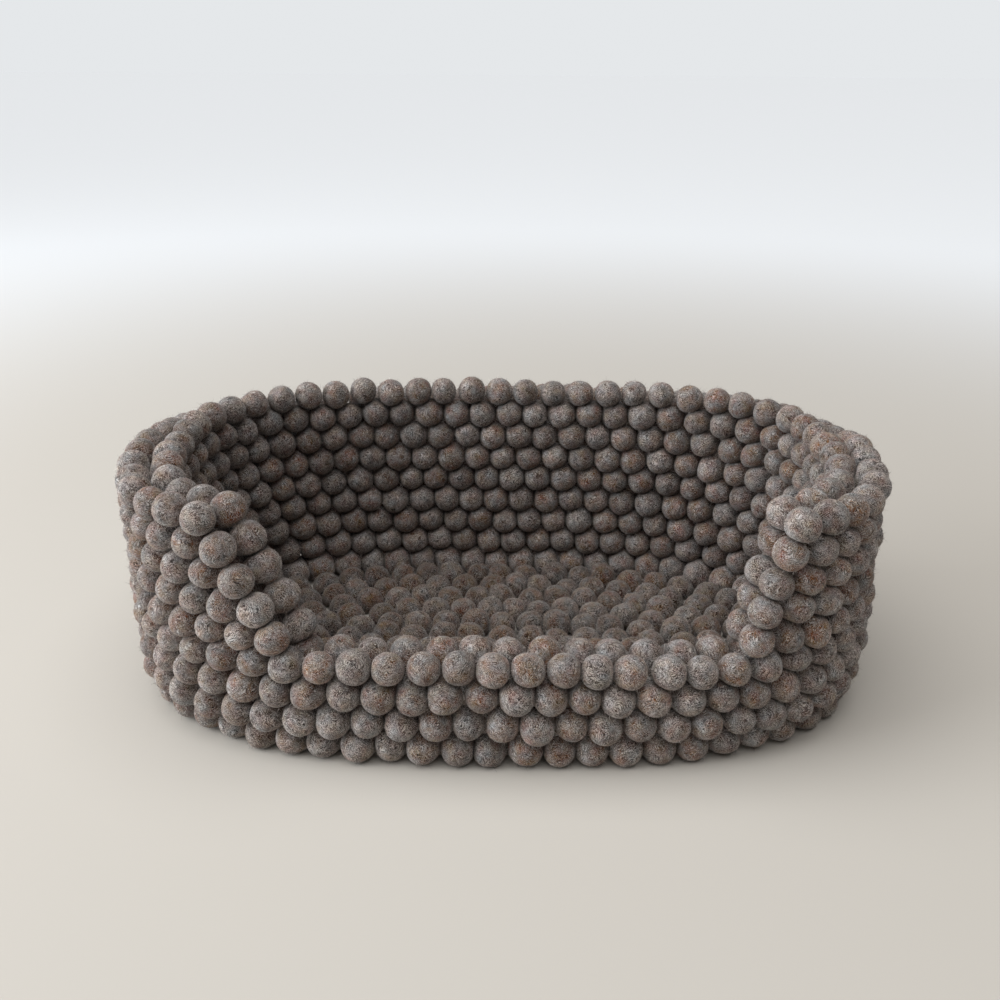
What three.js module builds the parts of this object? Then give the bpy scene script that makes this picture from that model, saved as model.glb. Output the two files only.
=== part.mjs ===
// Felt ball pet bed: an oval basket of wool felt balls sewn to each other.
// The wall is two balls thick, nine courses high round the back and sides, and four at the front entry.
// The floor is a mat of the same balls in oval rings.
// Millimetres, +Z up, the entry faces -Y, and the origin is under the middle of the bed.

import * as THREE from 'three';

// The balls. Each is raised as a stud: a flat face where the ball stands out furthest, and a neck on either
// side of it, where it presses on the next ball in its row.
const BALL_RADIUS = 13;
const BALL_SPACING = 25.4;
const FACE_REACH = 12.6;
const FACE_HALF = 5.1;
const NECK_REACH = 4;
const SEWN_GAP = 1.2;

// The wall, measured at the ball centres. It leans out a little towards the rim, and its lowest course is
// drawn in under the others, with rounder corners.
const OUTER_HALF_WIDTH = 286.5;
const OUTER_HALF_DEPTH = 178.5;
const CORNER_POWER = 2.9;
const LAYER_SPACING = 23.1;
const COURSE_RISE = 21.8;
const WALL_LEAN = 0.0104;
const BASE_TUCK = 4;
const BASE_CORNER_POWER = 2.65;
const COURSES = 9;

// The whole rings below the entry. Each is turned a little to the right against the one below it, counted
// in balls, and the lowest has a ball this far from the middle of the front. Balls sit closer along
// the straight front and back than round the ends.
const WHOLE_COURSES = 4;
const COURSE_SHIFT = 0.345;
const OUTER_FIRST = -1.2;
const INNER_FIRST = -0.735;
const CLOSENESS = 0.03;

// The open courses beside the entry: how far along the oval their end balls are from the middle of the front
// in the lowest of them, and how much further in each course above. Each has one ball fewer than the last.
const OUTER_ENDS = { right: 184.6, rightStep: 7.1, left: 161.4, leftStep: 13, balls: 50 };
const INNER_ENDS = { right: 180.1, rightStep: 6.7, left: 146.7, leftStep: 12.2, balls: 45 };

// The low front has nothing on top to press it down, so it swells towards its middle.
const FRONT_SWELL = 5.5;
const SWELL_REACH = 190;

// The wall settles: the rim lies this much lower at the front, and round the back its outer side lies lower
// than its inner one. Each comes in over a stretch of the bed's depth.
const FRONT_SAG = 4;
const FRONT_SAG_STRETCH = { from: 0, to: 120 };
const OUTER_SAG = 13;
const OUTER_SAG_STRETCH = { from: -20, to: 100 };

// The floor mat: a straight row of balls in the middle, and rings round it. They are pressed flatter than
// those of the wall.
const FLOOR_HALF_HEIGHT = 10.4;
const FLOOR_FACE_RISE = 10.2;
const FLOOR_RINGS = 5;
const FLOOR_RING_SPACING = 25.1;
const FLOOR_SEAM_HALF = 2.5;
const FLOOR_SEAM_RISE = 1.5;
const FLOOR_EDGE_REACH = 11.6;
const FLOOR_MIDDLE_BALLS = 9;

const wallFelt = new THREE.MeshStandardMaterial({ color: 0x6b5f55, roughness: 0.95, metalness: 0 });
const floorFelt = new THREE.MeshStandardMaterial({ color: 0x665a50, roughness: 0.95, metalness: 0 });

// An oval with square-ish ends, walked counter-clockwise from the middle of the front.
const OUTLINE_STEPS = 720;

class Oval {
  constructor(halfWidth, halfDepth, cornerPower) {
    this.points = Array.from({ length: OUTLINE_STEPS + 1 }, (_, step) => {
      const angle = ((step % OUTLINE_STEPS) / OUTLINE_STEPS) * 2 * Math.PI - Math.PI / 2;
      const across = Math.abs(Math.cos(angle) / halfWidth) ** cornerPower;
      const along = Math.abs(Math.sin(angle) / halfDepth) ** cornerPower;
      const radius = (across + along) ** (-1 / cornerPower);
      return new THREE.Vector2(radius * Math.cos(angle), radius * Math.sin(angle));
    });
    this.lengths = [0];
    for (let step = 0; step < OUTLINE_STEPS; step += 1) {
      this.lengths.push(this.lengths[step] + this.points[step].distanceTo(this.points[step + 1]));
    }
    this.length = this.lengths[OUTLINE_STEPS];
  }

  // The place at a share of the way round, and the direction out of the oval there.
  at(share) {
    const distance = (share - Math.floor(share)) * this.length;
    const step = this.lengths.findIndex((length) => length > distance) - 1;
    const start = this.points[step];
    const along = this.points[step + 1].clone().sub(start).normalize();
    const place = start.clone().addScaledVector(along, distance - this.lengths[step]);
    return { place, outward: new THREE.Vector2(along.y, -along.x) };
  }
}

// A closed surface made of lines of points. A line holds its points' numbers and, in rising order,
// their shares of the way round.
class Surface {
  constructor() {
    this.points = [];
    this.triangles = [];
  }

  addPoint(place, height) {
    this.points.push(place.x, place.y, height);
    return this.points.length / 3 - 1;
  }

  addTriangle(first, second, third) {
    if (first !== second && second !== third && third !== first) {
      this.triangles.push(first, second, third);
    }
  }

  // Fills the strip between two lines, always going on along the line whose next point comes first.
  // Where the lines share a point the strip closes up.
  joinLines(lower, upper) {
    let low = 0;
    let high = 0;
    while (low + 1 < lower.ids.length || high + 1 < upper.ids.length) {
      const nextLow = lower.shares[low + 1] ?? Infinity;
      const nextHigh = upper.shares[high + 1] ?? Infinity;
      if (nextLow <= nextHigh) {
        this.addTriangle(lower.ids[low], lower.ids[low + 1], upper.ids[high]);
        low += 1;
      } else {
        this.addTriangle(lower.ids[low], upper.ids[high + 1], upper.ids[high]);
        high += 1;
      }
    }
  }

  // Fills a ring of points with triangles from its first point.
  fillRing(ids) {
    for (let corner = 1; corner + 1 < ids.length; corner += 1) {
      this.addTriangle(ids[0], ids[corner], ids[corner + 1]);
    }
  }

  toMesh(name, material) {
    const geometry = new THREE.BufferGeometry();
    geometry.setAttribute('position', new THREE.Float32BufferAttribute(this.points, 3));
    geometry.setIndex(this.triangles);
    geometry.computeVertexNormals();
    const mesh = new THREE.Mesh(geometry, material);
    mesh.name = name;
    return mesh;
  }
}

// A row of balls along an oval. Places in it are counted in balls, and shareOf gives their share of the oval.
// A shape gives how far a point reaches out to the row's side and how high it rises, from the ball's centre.
const FACE_SHARE = FACE_HALF / BALL_SPACING;
const END_SIZE = 0.5;

class BallRow {
  constructor(surface, { oval, counts, shareOf, side, whole, heightOf }) {
    Object.assign(this, { surface, oval, counts, shareOf, side, whole, heightOf });
  }

  addPoint(count, { reach, rise }, size = 1) {
    const { place, outward } = this.oval.at(this.shareOf(count));
    const height = this.heightOf(rise * size, place, reach * size);
    return this.surface.addPoint(place.addScaledVector(outward, this.side * reach * size), height);
  }

  // A line with one point at each neck. An open row has smaller necks at its two ends.
  necks(shapeAt) {
    const counts = this.counts.map((count) => count - 0.5);
    counts.push(this.counts.at(-1) + 0.5);
    const ids = counts.slice(0, -1).map((count, neck) => {
      return this.addPoint(count, shapeAt(count), !this.whole && neck === 0 ? END_SIZE : 1);
    });
    const end = counts.at(-1);
    ids.push(this.whole ? ids[0] : this.addPoint(end, shapeAt(end), END_SIZE));
    return { ids, shares: counts.map(this.shareOf) };
  }

  // A line along one edge of the balls' faces, through the necks of another line.
  faces(necks, shapeAt) {
    const ids = [necks.ids[0]];
    const shares = [necks.shares[0]];
    this.counts.forEach((count, ball) => {
      for (const edge of [count - FACE_SHARE, count + FACE_SHARE]) {
        ids.push(this.addPoint(edge, shapeAt(count)));
        shares.push(this.shareOf(edge));
      }
      ids.push(necks.ids[ball + 1]);
      shares.push(necks.shares[ball + 1]);
    });
    return { ids, shares };
  }
}

// The two layers of the wall. side is 1 where the balls face outwards and -1 where they face in.
const outer = { inset: 0, side: 1, first: OUTER_FIRST, ends: OUTER_ENDS };
const inner = { inset: LAYER_SPACING, side: -1, first: INNER_FIRST, ends: INNER_ENDS };

// The oval of the lowest course, or one inside it.
function baseOval(inset) {
  const drawnIn = BASE_TUCK + inset;
  return new Oval(OUTER_HALF_WIDTH - drawnIn, OUTER_HALF_DEPTH - drawnIn, BASE_CORNER_POWER);
}

function layerOval(layer, course) {
  if (course === 1) {
    return baseOval(layer.inset);
  }
  const growth = WALL_LEAN * COURSE_RISE * (course - 1) - layer.inset;
  return new Oval(OUTER_HALF_WIDTH + growth, OUTER_HALF_DEPTH + growth, CORNER_POWER);
}

function ballsAround(oval) {
  return Math.round(oval.length / BALL_SPACING);
}

function numbers(length, first) {
  return Array.from({ length }, (_, index) => first + index);
}

// A whole ring of balls. Its shares run a little ahead of or behind an even spread, twice each way round.
function wholeRing(oval, balls, first) {
  const shareOf = (count) => {
    const even = count / balls;
    return even - (CLOSENESS * Math.sin(4 * Math.PI * even)) / (4 * Math.PI);
  };
  return { oval, shareOf, counts: numbers(balls, first), whole: true };
}

// An open course: its balls are spread evenly from its right end, round the back, to its left end.
function endDistances({ ends }, course) {
  const above = course - WHOLE_COURSES - 1;
  return { right: ends.right + ends.rightStep * above, left: ends.left + ends.leftStep * above };
}

function openCourse(layer, course) {
  const oval = layerOval(layer, course);
  const balls = layer.ends.balls - (course - WHOLE_COURSES - 1);
  const { right, left } = endDistances(layer, course);
  const spacing = (oval.length - right - left) / (balls - 1);
  const shareOf = (count) => (right + count * spacing) / oval.length;
  return { oval, shareOf, counts: numbers(balls, 0), whole: false };
}

function wholeCourse(layer, course) {
  const oval = layerOval(layer, course);
  return wholeRing(oval, ballsAround(oval), layer.first + COURSE_SHIFT * (course - 1));
}

// The share of the way through the wall, from its inner seams to its outer ones, at a reach from a layer.
const { clamp, mapLinear, smoothstep } = THREE.MathUtils;

function acrossShare({ inset, side }, reach) {
  return clamp(mapLinear(side * reach - inset, -LAYER_SPACING - NECK_REACH, NECK_REACH, 0, 1), 0, 1);
}

// The height of a level of the wall: a whole number is a course's ball centres, and a half is a seam.
// The swell grows up to the last whole course, and the sag all the way up to the rim.
function levelHeight(level, place, across) {
  const nearness = place.y < 0 ? Math.max(0, 1 - Math.abs(place.x) / SWELL_REACH) : 0;
  const swell = FRONT_SWELL * smoothstep(nearness, 0, 1);
  const swellShare = (clamp(level, 1, WHOLE_COURSES) - 1) / (WHOLE_COURSES - 1);
  const frontSag = FRONT_SAG * smoothstep(-place.y, FRONT_SAG_STRETCH.from, FRONT_SAG_STRETCH.to);
  const outerSag = OUTER_SAG * across * smoothstep(place.y, OUTER_SAG_STRETCH.from, OUTER_SAG_STRETCH.to);
  const sagShare = Math.max(0, level - 1) / (COURSES - 1);
  return BALL_RADIUS + (level - 1) * COURSE_RISE + swell * swellShare - (frontSag + outerSag) * sagShare;
}

// Whether nothing lies on a share of a row: all along the rim, and in the entry clear of the end balls above.
const END_BALL_COVER = 14;

function isBare(layer, course, oval, share) {
  if (course === COURSES) {
    return true;
  }
  const { right, left } = endDistances(layer, WHOLE_COURSES + 1);
  const distance = (share - Math.round(share)) * oval.length;
  return distance > END_BALL_COVER - left && distance < right - END_BALL_COVER;
}

const HALF_COURSE = (COURSE_RISE - SEWN_GAP) / 2;
const upperSeam = { reach: NECK_REACH, rise: HALF_COURSE };
const lowerSeam = { reach: NECK_REACH, rise: -HALF_COURSE };
const ground = { reach: NECK_REACH, rise: -BALL_RADIUS };
const faceTop = { reach: FACE_REACH, rise: FACE_HALF };
const faceFoot = { reach: FACE_REACH, rise: -FACE_HALF };

// The bare tops of the rim and the entry, and the same points where a course covers them.
const VALLEY_REACH = -9;
const tops = {
  valley: { bare: { reach: VALLEY_REACH, rise: 3 }, covered: { reach: VALLEY_REACH, rise: HALF_COURSE } },
  back: { bare: { reach: -FACE_HALF, rise: FACE_REACH }, covered: { reach: -FACE_HALF, rise: HALF_COURSE } },
  front: { bare: { reach: FACE_HALF, rise: FACE_REACH }, covered: upperSeam },
  neck: { bare: { reach: NECK_REACH, rise: NECK_REACH }, covered: upperSeam },
};

// The lines of one layer of a course, from the middle of the course's top down the side that shows.
function layerLines(surface, layer, course) {
  const spread = course > WHOLE_COURSES ? openCourse(layer, course) : wholeCourse(layer, course);
  const heightOf = (rise, place, reach) => {
    return levelHeight(course + rise / COURSE_RISE, place, acrossShare(layer, reach));
  };
  const row = new BallRow(surface, { ...spread, side: layer.side, heightOf });
  const lowerNecks = row.necks(() => (course === 1 ? ground : lowerSeam));
  const foot = [row.faces(lowerNecks, () => faceFoot), lowerNecks];
  if (course !== WHOLE_COURSES && course !== COURSES) {
    const upperNecks = row.necks(() => upperSeam);
    return [upperNecks, row.faces(upperNecks, () => faceTop), ...foot];
  }
  const topShape = ({ bare, covered }) => (count) => {
    return isBare(layer, course, row.oval, row.shareOf(count)) ? bare : covered;
  };
  const valleyNecks = row.necks(topShape(tops.valley));
  const upperNecks = row.necks(topShape(tops.neck));
  return [
    valleyNecks,
    row.faces(valleyNecks, topShape(tops.back)),
    row.faces(upperNecks, topShape(tops.front)),
    row.faces(upperNecks, () => faceTop),
    ...foot,
  ];
}

// One course of the wall: an outer and an inner row of balls sewn side by side.
function wallCourse(course) {
  const surface = new Surface();
  const innerLines = layerLines(surface, inner, course);
  const outerLines = layerLines(surface, outer, course);
  const lines = [...innerLines, ...outerLines.toReversed()];
  lines.forEach((line, index) => surface.joinLines(lines.at(index - 1), line));
  if (course > WHOLE_COURSES) {
    const startRing = new Set(lines.map((line) => line.ids[0]));
    const endRing = new Set(lines.map((line) => line.ids.at(-1)));
    surface.fillRing([...startRing]);
    surface.fillRing([...endRing].toReversed());
  }
  return surface.toMesh(`wall_course_${course}`, wallFelt);
}

// The floor mat's rings follow the lowest course. At the back the outermost has a ball in the middle, and
// each ring is set half a ball against the next.
function floorRow(surface, ring) {
  const oval = baseOval(LAYER_SPACING + FLOOR_RING_SPACING * ring);
  const balls = ballsAround(oval);
  const spread = wholeRing(oval, balls, ((balls + ring + 1) % 2) / 2);
  return new BallRow(surface, { ...spread, side: 1, heightOf: (rise) => FLOOR_HALF_HEIGHT + rise });
}

const SEAM_REACH = FLOOR_RING_SPACING / 2 - FLOOR_SEAM_HALF;
const floorShapes = {
  underside: { reach: FLOOR_EDGE_REACH, rise: -FLOOR_HALF_HEIGHT },
  edge: { reach: FLOOR_EDGE_REACH, rise: FLOOR_SEAM_RISE },
  outerSeam: { reach: SEAM_REACH, rise: FLOOR_SEAM_RISE },
  innerSeam: { reach: -SEAM_REACH, rise: FLOOR_SEAM_RISE },
  outerTop: { reach: FACE_HALF, rise: FLOOR_FACE_RISE },
  innerTop: { reach: -FACE_HALF, rise: FLOOR_FACE_RISE },
};

// The tops of one ring of the mat, from its outer seam to its inner one.
function ringLines(row, isOutermost) {
  const outerNecks = row.necks(() => (isOutermost ? floorShapes.edge : floorShapes.outerSeam));
  const innerNecks = row.necks(() => floorShapes.innerSeam);
  return [
    outerNecks,
    row.faces(outerNecks, () => floorShapes.outerTop),
    row.faces(innerNecks, () => floorShapes.innerTop),
    innerNecks,
  ];
}

// The middle row: its faces' front edges and rear edges, which meet at the necks, and the loop round them.
// The loop's shares are those of the ring round it, which is ringLength long.
function middleRow(surface, ringLength) {
  const front = { ids: [], shares: [] };
  const rear = { ids: [], shares: front.shares };
  const addPair = (x, halfDepth, rise) => {
    const height = FLOOR_HALF_HEIGHT + rise;
    const frontPoint = surface.addPoint(new THREE.Vector2(x, -halfDepth), height);
    front.ids.push(frontPoint);
    rear.ids.push(halfDepth > 0 ? surface.addPoint(new THREE.Vector2(x, halfDepth), height) : frontPoint);
    front.shares.push(x / ringLength);
  };
  const lastBall = (FLOOR_MIDDLE_BALLS - 1) / 2;
  for (let ball = -lastBall; ball <= lastBall; ball += 1) {
    if (ball > -lastBall) {
      addPair((ball - 0.5) * BALL_SPACING, 0, NECK_REACH);
    }
    addPair(ball * BALL_SPACING - FACE_HALF, FACE_HALF, FLOOR_FACE_RISE);
    addPair(ball * BALL_SPACING + FACE_HALF, FACE_HALF, FLOOR_FACE_RISE);
  }
  const middle = front.shares.findIndex((share) => share > 0);
  const toRight = front.shares.slice(middle);
  const fromLeft = front.shares.slice(0, middle).map((share) => share + 1);
  const acrossRear = front.shares.map((share) => 0.5 - share).toReversed();
  const loop = {
    ids: [...front.ids.slice(middle), ...rear.ids.toReversed(), ...front.ids.slice(0, middle + 1)],
    shares: [...toRight, ...acrossRear, ...fromLeft, toRight[0] + 1],
  };
  return { front, rear, loop };
}

function floorMat() {
  const surface = new Surface();
  const rows = Array.from({ length: FLOOR_RINGS }, (_, ring) => floorRow(surface, ring + 1));
  const middle = middleRow(surface, rows.at(-1).oval.length);
  const underside = rows[0].necks(() => floorShapes.underside);
  const lines = [underside, ...rows.flatMap((row, ring) => ringLines(row, ring === 0)), middle.loop];
  lines.slice(1).forEach((line, index) => surface.joinLines(lines[index], line));
  surface.joinLines(middle.front, middle.rear);
  surface.fillRing(underside.ids.slice(0, -1).toReversed());
  return surface.toMesh('floor_mat', floorFelt);
}

const bed = new THREE.Group();
bed.add(floorMat());
for (let course = 1; course <= COURSES; course += 1) {
  bed.add(wallCourse(course));
}

export default bed;
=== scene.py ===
import math

import bpy
import numpy as np
from mathutils import Matrix, Vector


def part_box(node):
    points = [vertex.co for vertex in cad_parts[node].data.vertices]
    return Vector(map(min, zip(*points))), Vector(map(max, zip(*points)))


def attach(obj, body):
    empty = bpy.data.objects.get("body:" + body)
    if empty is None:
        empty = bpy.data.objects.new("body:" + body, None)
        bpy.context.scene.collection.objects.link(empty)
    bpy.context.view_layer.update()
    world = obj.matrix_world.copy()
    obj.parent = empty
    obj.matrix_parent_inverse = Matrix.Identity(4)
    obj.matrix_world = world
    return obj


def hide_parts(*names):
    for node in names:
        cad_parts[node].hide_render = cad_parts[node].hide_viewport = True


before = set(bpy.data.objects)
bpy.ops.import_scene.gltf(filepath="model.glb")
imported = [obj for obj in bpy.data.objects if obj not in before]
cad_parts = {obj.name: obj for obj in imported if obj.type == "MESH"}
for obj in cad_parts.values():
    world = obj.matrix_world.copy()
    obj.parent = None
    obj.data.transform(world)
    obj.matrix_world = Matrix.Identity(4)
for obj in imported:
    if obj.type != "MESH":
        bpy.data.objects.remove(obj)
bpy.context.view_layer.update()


# The floor mat: one layer of wool felt balls, a straight row in the middle and five oval rings round it.
# Each ball is rolled from wet wool, so none is quite round. The rings are sewn to each other so tightly that
# the balls press flat where they touch, and use has flattened the mat.
BALL_SPACING = 0.0254
CLOSENESS = 0.03
OUTLINE_STEPS = 1440
CHORD_SHARE = 0.001

BASE_CORNER_POWER = 2.65
FLOOR_BALL_RADIUS = 0.0127
FLOOR_UNEVENNESS = (0.0016, 0.0016, 0.0009)
FLOOR_PLACE_SEED = 7
FLOOR_BALL_HEIGHT = 0.0104
FLOOR_FLATNESS = 0.8
FLOOR_EDGE_REACH = 0.0116
FLOOR_RINGS = 5
FLOOR_RING_SPACING = 0.0251
FLOOR_MIDDLE_BALLS = 9

BALL_CUTS = 3
ROUNDING_SWELL = 1.07
PRESS_SHARPNESS = 26
NEAR_BALLS = 14
SIZE_SPREAD = 0.028
PLACE_SPREAD = 0.0009
LUMP_WAVES = 4
LUMP_RATES = (1.5, 4.5)
LUMP_HEIGHT = 0.014
LUMP_SPREAD = 0.5
FELT_RANGE = 400
SHADE_SPREAD = 0.09
WARMTH_RANGE = (0.15, 1)
WARMTH_POWER = 1.5
SQUEEZE = 2.2
SQUEEZE_POWER = 1.8
SQUEEZE_LAP = 0.75
OPEN_SIDE = 5.0
OPEN_MARGIN = 0.1
CREASE_DEPTH = 0.12
# How dark the painted shade makes the mat's balls where their wool is pressed in or squeezed out.
FLOOR_PAINTED_CREASE_SHADE = 0.4
MOST_SPREAD = 2.0


class Oval:
    """An oval with square-ish ends. Its radius at an angle is that at which the two coordinates, each over
    its half size and raised to the corner power, add up to one. Shares run from the middle of its front."""

    def __init__(self, half_width, half_depth, corner_power):
        angles = np.linspace(-np.pi / 2, 1.5 * np.pi, OUTLINE_STEPS + 1)
        across = np.abs(np.cos(angles) / half_width) ** corner_power
        along = np.abs(np.sin(angles) / half_depth) ** corner_power
        radii = (across + along) ** (-1 / corner_power)
        self.points = radii[:, None] * np.column_stack([np.cos(angles), np.sin(angles)])
        steps = np.linalg.norm(np.diff(self.points, axis=0), axis=1)
        self.distances = np.concatenate([[0], np.cumsum(steps)])
        self.length = self.distances[-1]

    def places(self, shares):
        """The points at shares of the way round, read off the outline by distance."""
        wanted = (shares % 1) * self.length
        return np.column_stack([np.interp(wanted, self.distances, side) for side in self.points.T])

    def outwards(self, shares):
        """The outward directions: the way along a short chord, turned a quarter clockwise."""
        chord = self.places(shares + CHORD_SHARE) - self.places(shares - CHORD_SHARE)
        return np.column_stack([chord[:, 1], -chord[:, 0]]) / np.linalg.norm(chord, axis=1)[:, None]


def ring_shares(balls, first):
    """Shares of a whole ring: an even spread from the first ball, with a twofold wave that draws the balls
    closer along the straight front and back than round the ends."""
    even = (first + np.arange(balls)) / balls
    return even - CLOSENESS * np.sin(4 * np.pi * even) / (4 * np.pi)


def unit_ball(cuts):
    """A cube whose faces are cut into squares and blown up to radius one, with shared edges merged.
    The cuts are even in angle, so the squares are nearly alike."""
    line = np.tan(np.linspace(-np.pi / 4, np.pi / 4, cuts + 1))
    grid = np.stack(np.meshgrid(line, line, indexing="ij"), axis=-1)
    ones = np.ones(grid.shape[:2])
    upper = [np.roll(np.dstack([ones, grid]), axis, axis=2) for axis in range(3)]
    lower = [np.roll(np.dstack([-ones, grid[..., ::-1]]), axis, axis=2) for axis in range(3)]
    points = np.concatenate([face.reshape(-1, 3) for face in upper + lower])
    points /= np.linalg.norm(points, axis=1)[:, None]
    kept, merged = np.unique(points.round(6), axis=0, return_inverse=True)
    number = np.arange(6 * (cuts + 1) ** 2).reshape(6, cuts + 1, cuts + 1)
    corners = [number[:, :-1, :-1], number[:, 1:, :-1], number[:, 1:, 1:], number[:, :-1, 1:]]
    return kept, merged.ravel()[np.stack(corners, axis=-1).reshape(-1, 4)]


def unit(vectors):
    """Vectors brought to length one."""
    return vectors / np.linalg.norm(vectors, axis=-1, keepdims=True)


def limited_normal(rng, size):
    """Normal random numbers, with those past the most spread brought back to it."""
    return np.clip(rng.normal(size=size), -MOST_SPREAD, MOST_SPREAD)


class Balls:
    """A number of felt balls: where each sits and faces, its size, turn, lumps and shade, and what presses
    on it. Sizes, lumps and shades are spread at random about their middle."""

    def __init__(self, centres, facing, radius, flatness, seed):
        rng = np.random.default_rng(seed)
        count = len(centres)
        self.centres = centres + PLACE_SPREAD * limited_normal(rng, (count, 3))
        self.facing = facing
        self.flatness = flatness
        self.radii = radius * (1 + SIZE_SPREAD * limited_normal(rng, count))
        first = unit(rng.normal(size=(count, 3)))
        second = unit(np.cross(first, rng.normal(size=(count, 3))))
        self.axes = np.stack([first, second, np.cross(first, second)], axis=1)
        rates = rng.uniform(*LUMP_RATES, (count, LUMP_WAVES, 1))
        self.lump_waves = unit(rng.normal(size=(count, LUMP_WAVES, 3))) * rates
        self.lump_phases = rng.uniform(0, 2 * np.pi, (count, LUMP_WAVES))
        self.lump_heights = LUMP_HEIGHT * np.exp(LUMP_SPREAD * limited_normal(rng, (count, 1)))
        self.felt_offsets = rng.uniform(-FELT_RANGE, FELT_RANGE, (count, 3))
        self.shades = np.exp(SHADE_SPREAD * limited_normal(rng, count))
        self.warmths = rng.uniform(*WARMTH_RANGE, count) ** WARMTH_POWER
        self.find_presses()

    def find_presses(self):
        """The planes that press each ball: one halfway to each near ball, shifted towards the smaller of the
        two so that both spheres meet it alike, and the ground. The mean way to the near balls, along the face
        of the wall, tells on which side a ball is open. None is open to the ground, and the mat's balls are
        open on no side, because the wall closes them in."""
        gaps = self.centres[None] - self.centres[:, None]
        distances = np.linalg.norm(gaps, axis=2)
        np.fill_diagonal(distances, np.inf)
        near = np.argsort(distances, axis=1)[:, :NEAR_BALLS]
        reach = np.take_along_axis(distances, near, axis=1)
        towards = np.take_along_axis(gaps, near[..., None], axis=1) / reach[..., None]
        planes = (reach**2 + self.radii[:, None] ** 2 - self.radii[near] ** 2) / (2 * reach)
        down = np.broadcast_to([0.0, 0.0, -1.0], (len(self.radii), 1, 3))
        self.press_ways = np.concatenate([towards, down], axis=1)
        self.press_reaches = np.concatenate([planes, self.centres[:, 2:]], axis=1)
        crowd = towards.mean(axis=1)
        crowd[:, 2] = crowd[:, 2].clip(max=0)
        outward = np.einsum("bi,bi->b", crowd, self.facing)
        self.crowds = (crowd - outward[:, None] * self.facing) * (1 - self.facing[:, 2:])
        self.crowd_sizes = np.linalg.norm(self.crowds, axis=1)
        self.press_laps = np.append(np.full(NEAR_BALLS, SQUEEZE_LAP), 0)

    def free_reaches(self, ids, directions):
        """How far balls would reach in directions with nothing pressing: the radius of a ball flattened
        from above, times one plus its lumps, which are a sum of cosine waves."""
        waves = np.einsum("qwi,qi->qw", self.lump_waves[ids], directions) + self.lump_phases[ids]
        lumps = 1 + (self.lump_heights[ids] * np.cos(waves)).sum(axis=1)
        flat = (1 + (self.flatness**-2 - 1) * directions[:, 2] ** 2) ** -0.5
        return self.radii[ids] * flat * lumps

    def reaches(self, ids, directions, swell=1.0):
        """How far balls reach in directions: their free reach and the planes that press them, joined by a
        smooth minimum, the power mean of all with a large negative power. Behind a ball, unless it is at an
        open end or edge, wool is squeezed into the gaps: the free reach and the balls' planes are larger."""
        behind = -np.einsum("qi,qi->q", self.facing[ids], directions).clip(max=0)
        crowded = np.einsum("qi,qi->q", self.crowds[ids], directions) - self.crowd_sizes[ids]
        hidden = behind**SQUEEZE_POWER * (1 + OPEN_SIDE * (crowded + OPEN_MARGIN)).clip(0, 1)
        own = swell * self.free_reaches(ids, directions) * (1 + SQUEEZE * hidden)
        planes = self.press_reaches[ids] * (1 + self.press_laps * hidden[:, None])
        facing = np.einsum("qpi,qi->qp", self.press_ways[ids], directions).clip(min=0)
        presses = (own[:, None] * facing / planes) ** PRESS_SHARPNESS
        return own * (1 + presses.sum(axis=1)) ** (-1 / PRESS_SHARPNESS)


def new_piece(name, points, face_sets, material):
    """A smooth mesh object from arrays: points, and sets of faces of one number of corners each."""
    mesh = bpy.data.meshes.new(name)
    corners = np.concatenate([faces.ravel() for faces in face_sets])
    sizes = np.concatenate([np.full(len(faces), faces.shape[1]) for faces in face_sets])
    mesh.vertices.add(len(points))
    mesh.vertices.foreach_set("co", points.astype(np.float32).ravel())
    mesh.loops.add(len(corners))
    mesh.loops.foreach_set("vertex_index", corners.astype(np.int32))
    mesh.polygons.add(len(sizes))
    mesh.polygons.foreach_set("loop_start", (np.cumsum(sizes) - sizes).astype(np.int32))
    mesh.update(calc_edges=True)
    mesh.validate()
    mesh.shade_smooth()
    mesh.materials.append(material)
    piece = bpy.data.objects.new(name, mesh)
    bpy.context.scene.collection.objects.link(piece)
    return piece


def add_attribute(piece, name, kind, field, values):
    """One value or vector for each point of a piece, for its material to read."""
    attribute = piece.data.attributes.new(name, kind, "POINT")
    attribute.data.foreach_set(field, values.astype(np.float32).ravel())


def ball_piece(name, balls, ids, material, painted_crease_shade):
    """Balls as one mesh: each point of each turned unit ball is pushed out to the ball's reach, a little
    further than it ends up, because rounding the mesh off draws it in. The more the wool is pressed in or
    squeezed out at a point, the darker it is there: painted shade in the creases where balls meet and in the
    gaps."""
    directions = np.einsum("mj,bjk->bmk", UNIT_POINTS, balls.axes[ids]).reshape(-1, 3)
    owner = np.repeat(ids, len(UNIT_POINTS))
    reaches = balls.reaches(owner, directions, ROUNDING_SWELL)
    points = balls.centres[owner] + directions * reaches[:, None]
    faces = UNIT_FACES[None] + len(UNIT_POINTS) * np.arange(len(ids))[:, None, None]
    piece = new_piece(name, points, [faces.reshape(-1, 4)], material)
    millimetres = np.tile(UNIT_POINTS, (len(ids), 1)) * balls.radii[owner, None] * 1000
    felt = millimetres + balls.felt_offsets[owner]
    add_attribute(piece, "felt", "FLOAT_VECTOR", "vector", felt)
    free = ROUNDING_SWELL * balls.free_reaches(owner, directions)
    # Painted shade: wool pressed in at a crease or squeezed out into a gap is darkened, fully at the crease
    # depth.
    crease_shade_share = (np.abs(1 - reaches / free) / CREASE_DEPTH).clip(0, 1)
    add_attribute(piece, "shade", "FLOAT", "value", balls.shades[owner] * (1 - painted_crease_shade * crease_shade_share))
    add_attribute(piece, "warmth", "FLOAT", "value", balls.warmths[owner])
    rounding = piece.modifiers.new("rounding", "SUBSURF")
    rounding.levels = 1
    rounding.render_levels = 1
    return piece


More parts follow.
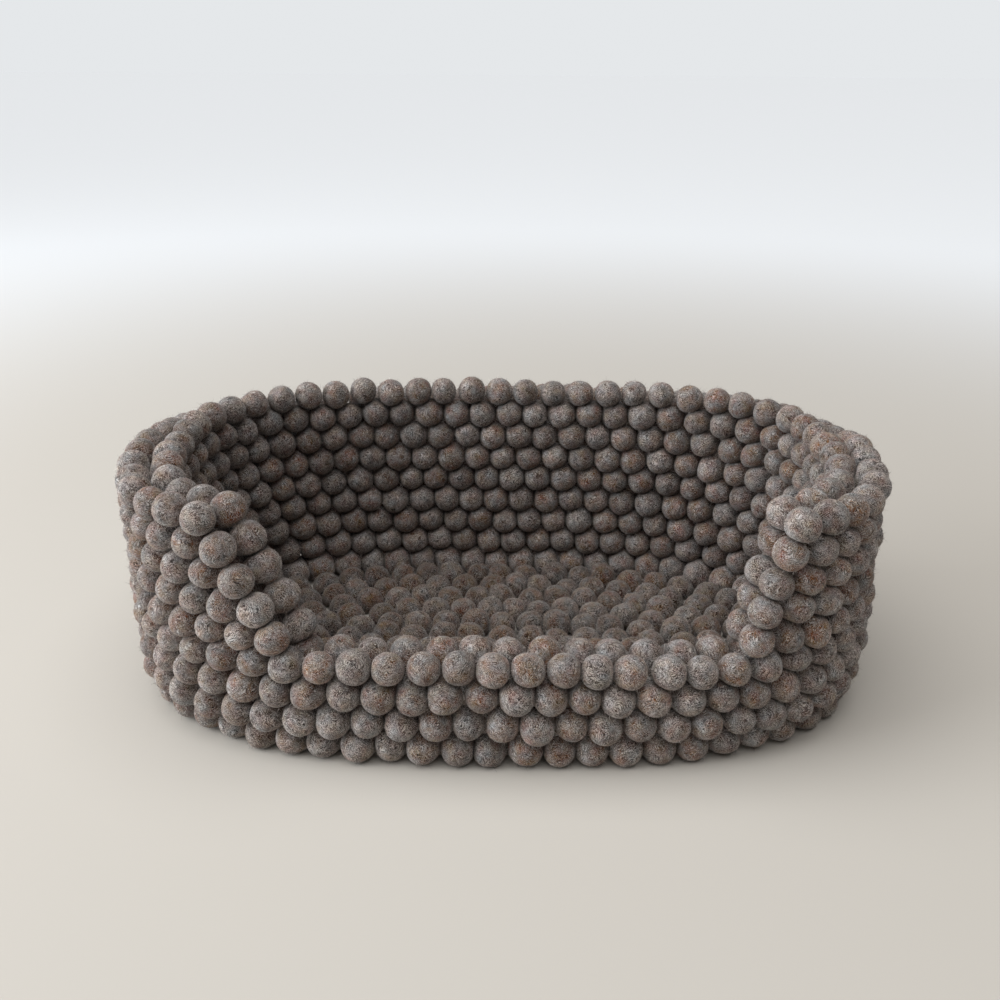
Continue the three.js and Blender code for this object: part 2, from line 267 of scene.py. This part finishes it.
UMBER = (0.024, 0.0175, 0.0165)
TAUPE = (0.198, 0.154, 0.138)
OATMEAL = (0.52, 0.438, 0.40)
CREAM = (0.92, 0.83, 0.76)
RUST = (0.30, 0.14, 0.07)
WOOL_SCALE = ((0.33, UMBER), (0.475, TAUPE), (0.55, OATMEAL), (0.63, CREAM))

SWIRL_SCALE = 0.11
SWIRL_REACH = (14, 14, 14)
FIBRE_STRETCH = (1.15, 1.15, 0.18)
FIBRE_SCALE = 2.7
FIBRE_SHARE = 0.34
FLECK_SCALE = 1.8
FLECK_SHARE = 0.42
CLOUD_SCALE = 0.12
CLOUD_SHARE = 0.24
RUST_START = 0.45
RUST_STRENGTH = 2.0
PATCH_DEPTH = 3.2
LEAST_DEPTH = -0.6
PATCH_HUE = 0.1
LEAST_HUE = 0.45
BUMP_STRENGTH = 0.8
BUMP_HEIGHT = 0.0006
FELT_ROUGHNESS = 0.95
FELT_GLOSS = 0.15
SHEEN_WEIGHT = 0.3
SHEEN_ROUGHNESS = 0.5
SHEEN_TINT = (0.85, 0.8, 0.75, 1)
# The mat's felt is darker, browner and of more contrast than the wall's.
FLOOR_FELT = {"brightness": 0.315, "colour_depth": 1.35, "contrast": 1.5}


class Nodes:
    """A new material's node tree, with calls that add a node, set its sockets and link it in."""

    def __init__(self, name):
        self.material = bpy.data.materials.new(name)
        self.material.use_nodes = True
        self.tree = self.material.node_tree
        self.shader = self.tree.nodes["Principled BSDF"]

    def add(self, kind, settings=None, **sockets):
        """A node of a kind, with its settings and its sockets, whose names have _ for a space."""
        node = self.tree.nodes.new(kind)
        for name, value in (settings or {}).items():
            setattr(node, name, value)
        for name, value in sockets.items():
            self.fill(node, name.replace("_", " "), value)
        return node

    def fill(self, node, socket, value):
        """A value or a link into a node's socket, by its name, or by its number after the word at."""
        named = node.inputs[int(socket[-1])] if socket.startswith("at ") else node.inputs[socket]
        if isinstance(value, bpy.types.NodeSocket):
            self.tree.links.new(value, named)
        else:
            named.default_value = value

    def ramp(self, factor, stops):
        """The colour at a factor on a scale of stops, straight from each stop to the next."""
        node = self.add("ShaderNodeValToRGB", Fac=factor)
        while len(node.color_ramp.elements) < len(stops):
            node.color_ramp.elements.new(0.5)
        for element, (position, colour) in zip(node.color_ramp.elements, stops):
            element.position = position
            element.color = (*colour, 1)
        return node.outputs["Color"]

    def vector(self, operation, first, second):
        """An operation on two vectors."""
        node = self.add("ShaderNodeVectorMath", {"operation": operation}, at_0=first, at_1=second)
        return node.outputs["Vector"]

    def maths(self, operation, first, second, third=0.0):
        """An operation on two or three numbers."""
        node = self.add("ShaderNodeMath", {"operation": operation}, at_0=first, at_1=second, at_2=third)
        return node.outputs["Value"]

    def attribute(self, name, output):
        """A value or vector that the piece's points carry."""
        return self.add("ShaderNodeAttribute", {"attribute_name": name}).outputs[output]


def felt_material(name, brightness, colour_depth, contrast):
    """Heathered wool felt. Each ball's own millimetres are swirled by a slow noise and drawn out along one
    axis, and cells of that grain are bits of fibre, each with its own tone. The tone, a fine noise and a slow
    one add up to the place on a scale from dark to pale wool. Some bits of fibre are rusty, more of them on a
    warm ball. The swirling noise also makes patches greyer or browner, and yellower or redder."""
    nodes = Nodes(name)
    felt = nodes.attribute("felt", "Vector")
    # The shade attribute is each ball's own tone times the painted shade of its creases and gaps.
    shade = nodes.attribute("shade", "Fac")
    warmth = nodes.attribute("warmth", "Fac")
    slow = nodes.add("ShaderNodeTexNoise", Vector=felt, Scale=SWIRL_SCALE, Detail=1.0)
    middle = nodes.vector("SUBTRACT", slow.outputs["Color"], (0.5, 0.5, 0.5))
    swirled = nodes.vector("ADD", felt, nodes.vector("MULTIPLY", middle, SWIRL_REACH))
    patches = nodes.add("ShaderNodeSeparateColor", Color=slow.outputs["Color"])
    grain = nodes.vector("MULTIPLY", swirled, FIBRE_STRETCH)
    cells = nodes.add("ShaderNodeTexVoronoi", Vector=grain, Scale=FIBRE_SCALE).outputs["Color"]
    fibres = nodes.add("ShaderNodeSeparateColor", Color=cells)
    flecks = nodes.add("ShaderNodeTexNoise", Vector=felt, Scale=FLECK_SCALE, Detail=1.0, Roughness=0.6)
    clouds = nodes.add("ShaderNodeTexNoise", Vector=felt, Scale=CLOUD_SCALE, Detail=2.0)
    tone = nodes.maths("MULTIPLY", fibres.outputs["Red"], FIBRE_SHARE)
    fine = nodes.maths("MULTIPLY_ADD", flecks.outputs["Fac"], FLECK_SHARE, tone)
    blend = nodes.maths("MULTIPLY_ADD", clouds.outputs["Fac"], CLOUD_SHARE, fine)
    heather = nodes.maths("MULTIPLY_ADD", blend, contrast, 0.5 - contrast / 2)
    wool = nodes.ramp(heather, WOOL_SCALE)
    reddest = nodes.maths("MAXIMUM", nodes.maths("SUBTRACT", fibres.outputs["Green"], RUST_START), 0.0)
    rusty = nodes.maths("MULTIPLY", nodes.maths("MULTIPLY", reddest, warmth), RUST_STRENGTH)
    warmed = nodes.add("ShaderNodeMix", {"data_type": "RGBA"}, at_0=rusty)
    nodes.fill(warmed, "at 6", wool)
    nodes.fill(warmed, "at 7", (*RUST, 1))
    value = nodes.maths("MULTIPLY", shade, brightness)
    least_depth = LEAST_DEPTH * colour_depth
    depth = nodes.maths("MULTIPLY_ADD", patches.outputs["Red"], PATCH_DEPTH * colour_depth, least_depth)
    hue = nodes.maths("MULTIPLY_ADD", patches.outputs["Green"], PATCH_HUE, LEAST_HUE)
    tinted = nodes.add("ShaderNodeHueSaturation", Hue=hue, Saturation=depth, Value=value)
    nodes.fill(tinted, "Color", warmed.outputs[2])
    bump = nodes.add("ShaderNodeBump", Strength=BUMP_STRENGTH, Distance=BUMP_HEIGHT, Height=heather)
    nodes.fill(nodes.shader, "Base Color", tinted.outputs["Color"])
    nodes.fill(nodes.shader, "Normal", bump.outputs["Normal"])
    nodes.fill(nodes.shader, "Roughness", FELT_ROUGHNESS)
    nodes.fill(nodes.shader, "Specular IOR Level", FELT_GLOSS)
    nodes.fill(nodes.shader, "Sheen Weight", SHEEN_WEIGHT)
    nodes.fill(nodes.shader, "Sheen Roughness", SHEEN_ROUGHNESS)
    nodes.fill(nodes.shader, "Sheen Tint", SHEEN_TINT)
    return nodes.material


def floor_centres():
    """The mat's ball centres: a straight row, and rings on ovals inset from the mat's edge, each ring set
    half a ball against the next at the back. All lie a little uneven."""
    low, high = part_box("floor_mat")
    half_width = (high[0] - low[0]) / 2 - FLOOR_EDGE_REACH
    half_depth = (high[1] - low[1]) / 2 - FLOOR_EDGE_REACH
    middle = (np.arange(FLOOR_MIDDLE_BALLS) - (FLOOR_MIDDLE_BALLS - 1) / 2) * BALL_SPACING
    rows = [np.column_stack([middle, np.zeros(FLOOR_MIDDLE_BALLS)])]
    for ring in range(FLOOR_RINGS):
        inset = ring * FLOOR_RING_SPACING
        oval = Oval(half_width - inset, half_depth - inset, BASE_CORNER_POWER)
        balls = round(oval.length / BALL_SPACING)
        rows.append(oval.places(ring_shares(balls, (balls + ring) % 2 / 2)))
    flat = np.concatenate(rows)
    level = np.column_stack([flat, np.full(len(flat), FLOOR_BALL_HEIGHT)])
    return level + FLOOR_UNEVENNESS * limited_normal(np.random.default_rng(FLOOR_PLACE_SEED), level.shape)


UNIT_POINTS, UNIT_FACES = unit_ball(BALL_CUTS)
centres = floor_centres()
upward = np.broadcast_to([0.0, 0.0, 1.0], centres.shape)
floor_balls = Balls(centres, upward, FLOOR_BALL_RADIUS, FLOOR_FLATNESS, seed=11)
floor_felt = felt_material("floor_felt_wool", **FLOOR_FELT)
floor_ids = np.arange(len(centres))
floor_piece = ball_piece("floor_balls", floor_balls, floor_ids, floor_felt, FLOOR_PAINTED_CREASE_SHADE)
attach(floor_piece, "root")
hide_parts("floor_mat")


# The wall courses: rows of the same wool felt balls, an outer and an inner row sewn side by side. Each course
# is sewn onto the one below and turned a little against it. Four go all the way round. The five above them
# leave the entry open at the front, and their ends step back as they go up.
CORNER_POWER = 2.9
COURSES = 9
WHOLE_COURSES = 4
WALL_BALL_RADIUS = 0.0131
BALL_HEIGHT = 0.013
FACE_REACH = 0.0126
LAYER_SPACING = 0.0231
COURSE_RISE = (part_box("wall_course_9")[1][2] - BALL_HEIGHT - FACE_REACH) / (COURSES - 1)
COURSE_SHIFT = 0.345
FRONT_SWELL = 0.0055
SWELL_REACH = 0.19
FRONT_SAG = 0.004
SAG_STRETCH = 0.12
OUTER_SAG_START = -0.02
# How dark the painted shade makes the wall's balls where their wool is pressed in or squeezed out.
WALL_PAINTED_CREASE_SHADE = 0.2
WALL_FELT = {"brightness": 0.525, "colour_depth": 0.95, "contrast": 0.95}

OUTER = {
    "inset": 0.0, "side": 1, "first": -1.2, "balls": 50, "back_sag": 0.013,
    "right": 0.1846, "right_step": 0.0071, "left": 0.1614, "left_step": 0.013,
}
INNER = {
    "inset": LAYER_SPACING, "side": -1, "first": -0.735, "balls": 45, "back_sag": 0.0,
    "right": 0.1801, "right_step": 0.0067, "left": 0.1467, "left_step": 0.0122,
}


def course_oval(layer, course):
    """The oval through a layer's ball centres: the solid's outline, drawn in by the balls' reach and the
    inset. The lowest course has rounder corners."""
    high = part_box(f"wall_course_{course}")[1]
    drawn_in = FACE_REACH + layer["inset"]
    corner_power = BASE_CORNER_POWER if course == 1 else CORNER_POWER
    return Oval(high[0] - drawn_in, high[1] - drawn_in, corner_power)


def course_shares(layer, course, oval):
    """A whole course is a ring, turned by the shift of each course. An open one is spread evenly from its
    right end, round the back, to its left end, with one ball fewer in each course going up."""
    if course <= WHOLE_COURSES:
        balls = round(oval.length / BALL_SPACING)
        return ring_shares(balls, layer["first"] + COURSE_SHIFT * (course - 1))
    above = course - WHOLE_COURSES - 1
    right = layer["right"] + layer["right_step"] * above
    left = layer["left"] + layer["left_step"] * above
    return np.linspace(right, oval.length - left, layer["balls"] - above) / oval.length


def smooth_step(shares):
    """A step from nought to one that starts and ends level: three times the square less twice the cube."""
    limited = shares.clip(0, 1)
    return limited**2 * (3 - 2 * limited)


def course_heights(layer, course, places):
    """A course's height. The front of the whole courses swells in a smooth step towards its middle. The rim
    lies lower at the front, and its outer layer lies lower round the back, both in smooth steps along the
    depth and in equal parts from course to course."""
    across, along = places.T
    nearness = np.where(along < 0, 1 - np.abs(across) / SWELL_REACH, 0)
    swell = FRONT_SWELL * smooth_step(nearness) * (min(course, WHOLE_COURSES) - 1) / (WHOLE_COURSES - 1)
    front_sag = FRONT_SAG * smooth_step(-along / SAG_STRETCH)
    back_sag = layer["back_sag"] * smooth_step((along - OUTER_SAG_START) / SAG_STRETCH)
    sag = (front_sag + back_sag) * (course - 1) / (COURSES - 1)
    return BALL_HEIGHT + (course - 1) * COURSE_RISE + swell - sag


def layer_row(layer, course):
    """The ball centres of one layer of a course, and the ways that they face."""
    oval = course_oval(layer, course)
    shares = course_shares(layer, course, oval)
    places = oval.places(shares)
    facing = layer["side"] * oval.outwards(shares)
    heights = course_heights(layer, course, places)
    return np.column_stack([places, heights]), np.column_stack([facing, np.zeros(len(facing))])


course_numbers = range(1, COURSES + 1)
rows = [(course, *layer_row(layer, course)) for course in course_numbers for layer in (OUTER, INNER)]
course_of = np.concatenate([np.full(len(row), course) for course, row, _ in rows])
centres = np.concatenate([row for _, row, _ in rows])
facing = np.concatenate([ways for _, _, ways in rows])
wall_balls = Balls(centres, facing, WALL_BALL_RADIUS, flatness=1.0, seed=23)
wall_felt = felt_material("wall_felt_wool", **WALL_FELT)
for course in course_numbers:
    ids = np.flatnonzero(course_of == course)
    course_piece = ball_piece(f"wall_balls_{course}", wall_balls, ids, wall_felt, WALL_PAINTED_CREASE_SHADE)
    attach(course_piece, "root")
    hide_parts(f"wall_course_{course}")


# The fuzz: ends of wool fibres that the felting left loose. They stand off every ball that shows, most of
# them lying close to it, and are of all the wool's colours.
FUZZ_PER_BALL = 150
FUZZ_LENGTH = 0.0028
FUZZ_SPREAD = 0.4
FUZZ_SLANTS = (0.25, 1.3)
FUZZ_HALF_WIDTH = 0.0001
WIDTH_RANGE = (0.7, 1.3)
TAPER = 0.6
SIDE_SKEW = (0.31, 0.17, 0.05)
FUZZ_SINK = 0.0003
FUZZ_CLEAR = 0.0003
LEAST_OPEN = 0.975
LEAST_FACING = -0.3
FACING_FROM_ABOVE = 0.5
FIBRE_COLOURS = ((0.1, UMBER), (0.45, TAUPE), (0.75, OATMEAL), (1.0, CREAM))
FIBRE_ROUGHNESS = 0.9


def strands(roots, ways, bends, lengths, half_widths, steps):
    """Closed three-sided tapering strands. A strand's path is its root, plus its length times the sum of its
    way times the share along it and half its bend times that share squared. Rings of three points lie across
    the path, and the last one is drawn to the tip."""
    shares = np.arange(steps + 1) / steps
    run = ways[:, None] * shares[:, None] + bends[:, None] * (shares**2 / 2)[:, None]
    path = roots[:, None] + lengths[:, None, None] * run
    side = unit(np.cross(ways, np.roll(ways, 1, axis=1) + SIDE_SKEW))
    other = np.cross(ways, side)
    angles = np.arange(3) * 2 * np.pi / 3
    spokes = side[:, None] * np.cos(angles)[:, None] + other[:, None] * np.sin(angles)[:, None]
    widths = half_widths[:, None] * (1 - TAPER * shares[:-1])
    rings = path[:, :-1, None] + widths[..., None, None] * spokes[:, None]
    points = np.concatenate([rings.reshape(len(roots), -1, 3), path[:, -1:]], axis=1)
    ring = np.arange(3)
    start = np.arange(len(roots))[:, None, None] * points.shape[1]
    lower = 3 * np.arange(steps - 1)[:, None] + ring
    ahead = 3 * np.arange(steps - 1)[:, None] + (ring + 1) % 3
    sides = np.stack([lower, ahead, ahead + 3, lower + 3], axis=-1).reshape(-1, 4)
    last = 3 * (steps - 1)
    tips = np.column_stack([last + ring, last + (ring + 1) % 3, np.full(3, last + 3)])
    triangles = np.concatenate([tips, [[2, 1, 0]]])
    return points.reshape(-1, 3), [(triangles + start).reshape(-1, 3), (sides + start).reshape(-1, 4)]


def open_places(balls, ids, rng):
    """Random directions on balls, kept where nothing presses and the ball faces out or up, and how far the
    ball reaches there."""
    directions = unit(rng.normal(size=(len(ids), 3)))
    reaches = balls.reaches(ids, directions)
    outward = np.einsum("qi,qi->q", directions, balls.facing[ids])
    is_seen = np.maximum(outward, directions[:, 2] - FACING_FROM_ABOVE) > LEAST_FACING
    is_open = reaches > LEAST_OPEN * balls.free_reaches(ids, directions)
    kept = np.flatnonzero(is_seen & is_open)
    return ids[kept], directions[kept], reaches[kept]


def fuzz_piece(name, balls, ids, material, seed):
    """Fuzz on balls: each strand leaves at a slant between the way straight out and a random way along the
    surface, and its tip stays clear of the ground."""
    rng = np.random.default_rng(seed)
    owner, directions, reaches = open_places(balls, np.repeat(ids, FUZZ_PER_BALL), rng)
    count = len(owner)
    roots = balls.centres[owner] + directions * (reaches - FUZZ_SINK)[:, None]
    along = unit(np.cross(directions, rng.normal(size=(count, 3))))
    slants = rng.uniform(*FUZZ_SLANTS, count)[:, None]
    ways = directions * np.cos(slants) + along * np.sin(slants)
    lengths = FUZZ_LENGTH * np.exp(FUZZ_SPREAD * limited_normal(rng, count))
    above = (roots[:, 2] + lengths * ways[:, 2]).clip(min=FUZZ_CLEAR)
    ways[:, 2] = (above - roots[:, 2]) / lengths
    half_widths = FUZZ_HALF_WIDTH * rng.uniform(*WIDTH_RANGE, count)
    points, face_sets = strands(roots, ways, np.zeros((count, 3)), lengths, half_widths, steps=1)
    piece = new_piece(name, points, face_sets, material)
    tones = rng.uniform(0, 1, count) * balls.shades[owner]
    add_attribute(piece, "tone", "FLOAT", "value", np.repeat(tones, len(points) // count))
    return piece


def fibre_material(name):
    """Single wool fibres: each has a tone that picks its colour from dark to pale wool."""
    nodes = Nodes(name)
    colour = nodes.ramp(nodes.attribute("tone", "Fac"), FIBRE_COLOURS)
    nodes.fill(nodes.shader, "Base Color", colour)
    nodes.fill(nodes.shader, "Roughness", FIBRE_ROUGHNESS)
    nodes.fill(nodes.shader, "Specular IOR Level", FELT_GLOSS)
    return nodes.material


loose_fibre = fibre_material("loose_wool_fibre")
floor_fuzz = fuzz_piece("floor_fuzz", floor_balls, floor_ids, loose_fibre, seed=41)
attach(floor_fuzz, "root")
for course in course_numbers:
    ids = np.flatnonzero(course_of == course)
    course_fuzz = fuzz_piece(f"wall_fuzz_{course}", wall_balls, ids, loose_fibre, seed=50 + course)
    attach(course_fuzz, "root")


# The stray hairs: single long hairs of the same wool, pale and curved, clinging to the balls here and there.
# A ball of the floor has more of them than one of the wall.
FLOOR_HAIRS = 1500
WALL_HAIRS = 1500
HAIR_LENGTH = 0.009
HAIR_SPREAD = 0.35
HAIR_HALF_WIDTH = 0.00006
HAIR_STEPS = 6
HAIR_TONES = (0.45, 1)
HAIR_LIFT = 0.12
HAIR_CLING = 0.85
HAIR_CURL = 0.9
HAIR_CLEAR = 0.002


def hair_piece(name, balls, tries, material, seed):
    """Hairs on balls: each leaves along the surface with a little lift, bends round its ball nearly as a
    circle of that radius does, and curls to one side. Those that would come near the ground are left out."""
    rng = np.random.default_rng(seed)
    owner, directions, reaches = open_places(balls, rng.integers(0, len(balls.radii), tries), rng)
    roots = balls.centres[owner] + directions * (reaches - FUZZ_SINK)[:, None]
    count = len(owner)
    along = unit(np.cross(directions, rng.normal(size=(count, 3))))
    lengths = HAIR_LENGTH * np.exp(HAIR_SPREAD * limited_normal(rng, count))
    ways = unit(along + HAIR_LIFT * directions)
    cling = -HAIR_CLING * directions * (lengths / balls.radii[owner])[:, None]
    bends = cling + np.cross(directions, along) * rng.uniform(-HAIR_CURL, HAIR_CURL, (count, 1))
    half_widths = HAIR_HALF_WIDTH * rng.uniform(*WIDTH_RANGE, count)
    tips = roots[:, 2] + lengths * (ways[:, 2] + bends[:, 2] / 2)
    kept = np.flatnonzero(np.minimum(tips, roots[:, 2]) > HAIR_CLEAR)
    shapes = [values[kept] for values in (roots, ways, bends, lengths, half_widths)]
    points, face_sets = strands(*shapes, steps=HAIR_STEPS)
    piece = new_piece(name, points, face_sets, material)
    tones = rng.uniform(*HAIR_TONES, len(kept))
    add_attribute(piece, "tone", "FLOAT", "value", np.repeat(tones, len(points) // len(kept)))
    return piece


floor_hairs = hair_piece("floor_hairs", floor_balls, FLOOR_HAIRS, loose_fibre, seed=71)
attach(floor_hairs, "root")
wall_hairs = hair_piece("wall_hairs", wall_balls, WALL_HAIRS, loose_fibre, seed=72)
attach(wall_hairs, "root")


# The ground that the bed stands on and the light round it: a plain pale floor that fades into a white room,
# a broad soft light low on the left, another from above, and the even light of the room.
GROUND_SIZE = 60.0
GROUND_ROUGHNESS = 0.8
GROUND_NEAR_COLOUR = (0.49, 0.46, 0.415, 1)
GROUND_FAR_COLOUR = (0.81, 0.835, 0.86, 1)
GROUND_FADE = (0.6, 2.6)
WINDOW_PLACE = (-2.4, -0.56, 0.67)
WINDOW_SIZE = 1.9
WINDOW_POWER = 94.0
WINDOW_COLOUR = (0.92, 0.96, 1.0)
SKY_PLACE = (0, 0, 3)
SKY_WAY = (-0.15, -0.15, 1.0)
SKY_SPREAD = math.radians(80)
SKY_STRENGTH = 2.85
ROOM_COLOUR = (0.13, 0.126, 0.122, 1)
BACKDROP_COLOUR = (0.783, 0.804, 0.822, 1)

corners = np.array([[-1, -1, 0], [1, -1, 0], [1, 1, 0], [-1, 1, 0]]) * GROUND_SIZE / 2
ground_nodes = Nodes("pale_ground")
place = ground_nodes.add("ShaderNodeTexCoord").outputs["Object"]
distance = ground_nodes.add("ShaderNodeVectorMath", {"operation": "LENGTH"}, at_0=place).outputs["Value"]
fade = ground_nodes.add("ShaderNodeMapRange", {"interpolation_type": "SMOOTHSTEP"}, Value=distance)
ground_nodes.fill(fade, "From Min", GROUND_FADE[0])
ground_nodes.fill(fade, "From Max", GROUND_FADE[1])
faded = ground_nodes.add("ShaderNodeMix", {"data_type": "RGBA"}, at_0=fade.outputs["Result"])
ground_nodes.fill(faded, "at 6", GROUND_NEAR_COLOUR)
ground_nodes.fill(faded, "at 7", GROUND_FAR_COLOUR)
ground_nodes.fill(ground_nodes.shader, "Base Color", faded.outputs[2])
ground_nodes.fill(ground_nodes.shader, "Roughness", GROUND_ROUGHNESS)
ground = new_piece("ground", corners, [np.array([[0, 1, 2, 3]])], ground_nodes.material)


def add_lamp(name, kind, place, way, **settings):
    """A light at a place, shining against the way that is given."""
    light = bpy.data.lights.new(name, kind)
    for setting, value in settings.items():
        setattr(light, setting, value)
    lamp = bpy.data.objects.new(name, light)
    lamp.location = place
    lamp.rotation_euler = Vector(way).to_track_quat("Z", "Y").to_euler()
    bpy.context.scene.collection.objects.link(lamp)


window_look = {"size": WINDOW_SIZE, "energy": WINDOW_POWER, "color": WINDOW_COLOUR}
add_lamp("window", "AREA", WINDOW_PLACE, WINDOW_PLACE, **window_look)
add_lamp("sky", "SUN", SKY_PLACE, SKY_WAY, angle=SKY_SPREAD, energy=SKY_STRENGTH)

world = bpy.data.worlds.new("white_room")
world.use_nodes = True
ray = world.node_tree.nodes.new("ShaderNodeLightPath")
room = world.node_tree.nodes.new("ShaderNodeMix")
room.data_type = "RGBA"
room.inputs[6].default_value = ROOM_COLOUR
room.inputs[7].default_value = BACKDROP_COLOUR
world.node_tree.links.new(ray.outputs["Is Camera Ray"], room.inputs[0])
world.node_tree.links.new(room.outputs[2], world.node_tree.nodes["Background"].inputs["Color"])
bpy.context.scene.world = world
bpy.context.scene.view_settings.view_transform = "Standard"


# The camera, where the photograph was taken from: in front of the entry and above it, looking down into the
# bed. Its place, its turns and its lens are fitted to the balls.
CAMERA_PLACE = (0.0087, -0.8585, 0.4844)
CAMERA_YAW = -0.0124
CAMERA_PITCH = math.radians(21.9)
CAMERA_ROLL = math.radians(0.39)
LENS_MM = 39.83
SENSOR_MM = 36

turn = Matrix.Rotation(-CAMERA_YAW, 4, "Z") @ Matrix.Rotation(math.pi / 2 - CAMERA_PITCH, 4, "X")
camera_data = bpy.data.cameras.new("camera")
camera_data.lens = LENS_MM
camera_data.sensor_width = SENSOR_MM
camera = bpy.data.objects.new("camera", camera_data)
camera.matrix_world = Matrix.Translation(CAMERA_PLACE) @ turn @ Matrix.Rotation(CAMERA_ROLL, 4, "Z")
bpy.context.scene.collection.objects.link(camera)
bpy.context.scene.camera = camera
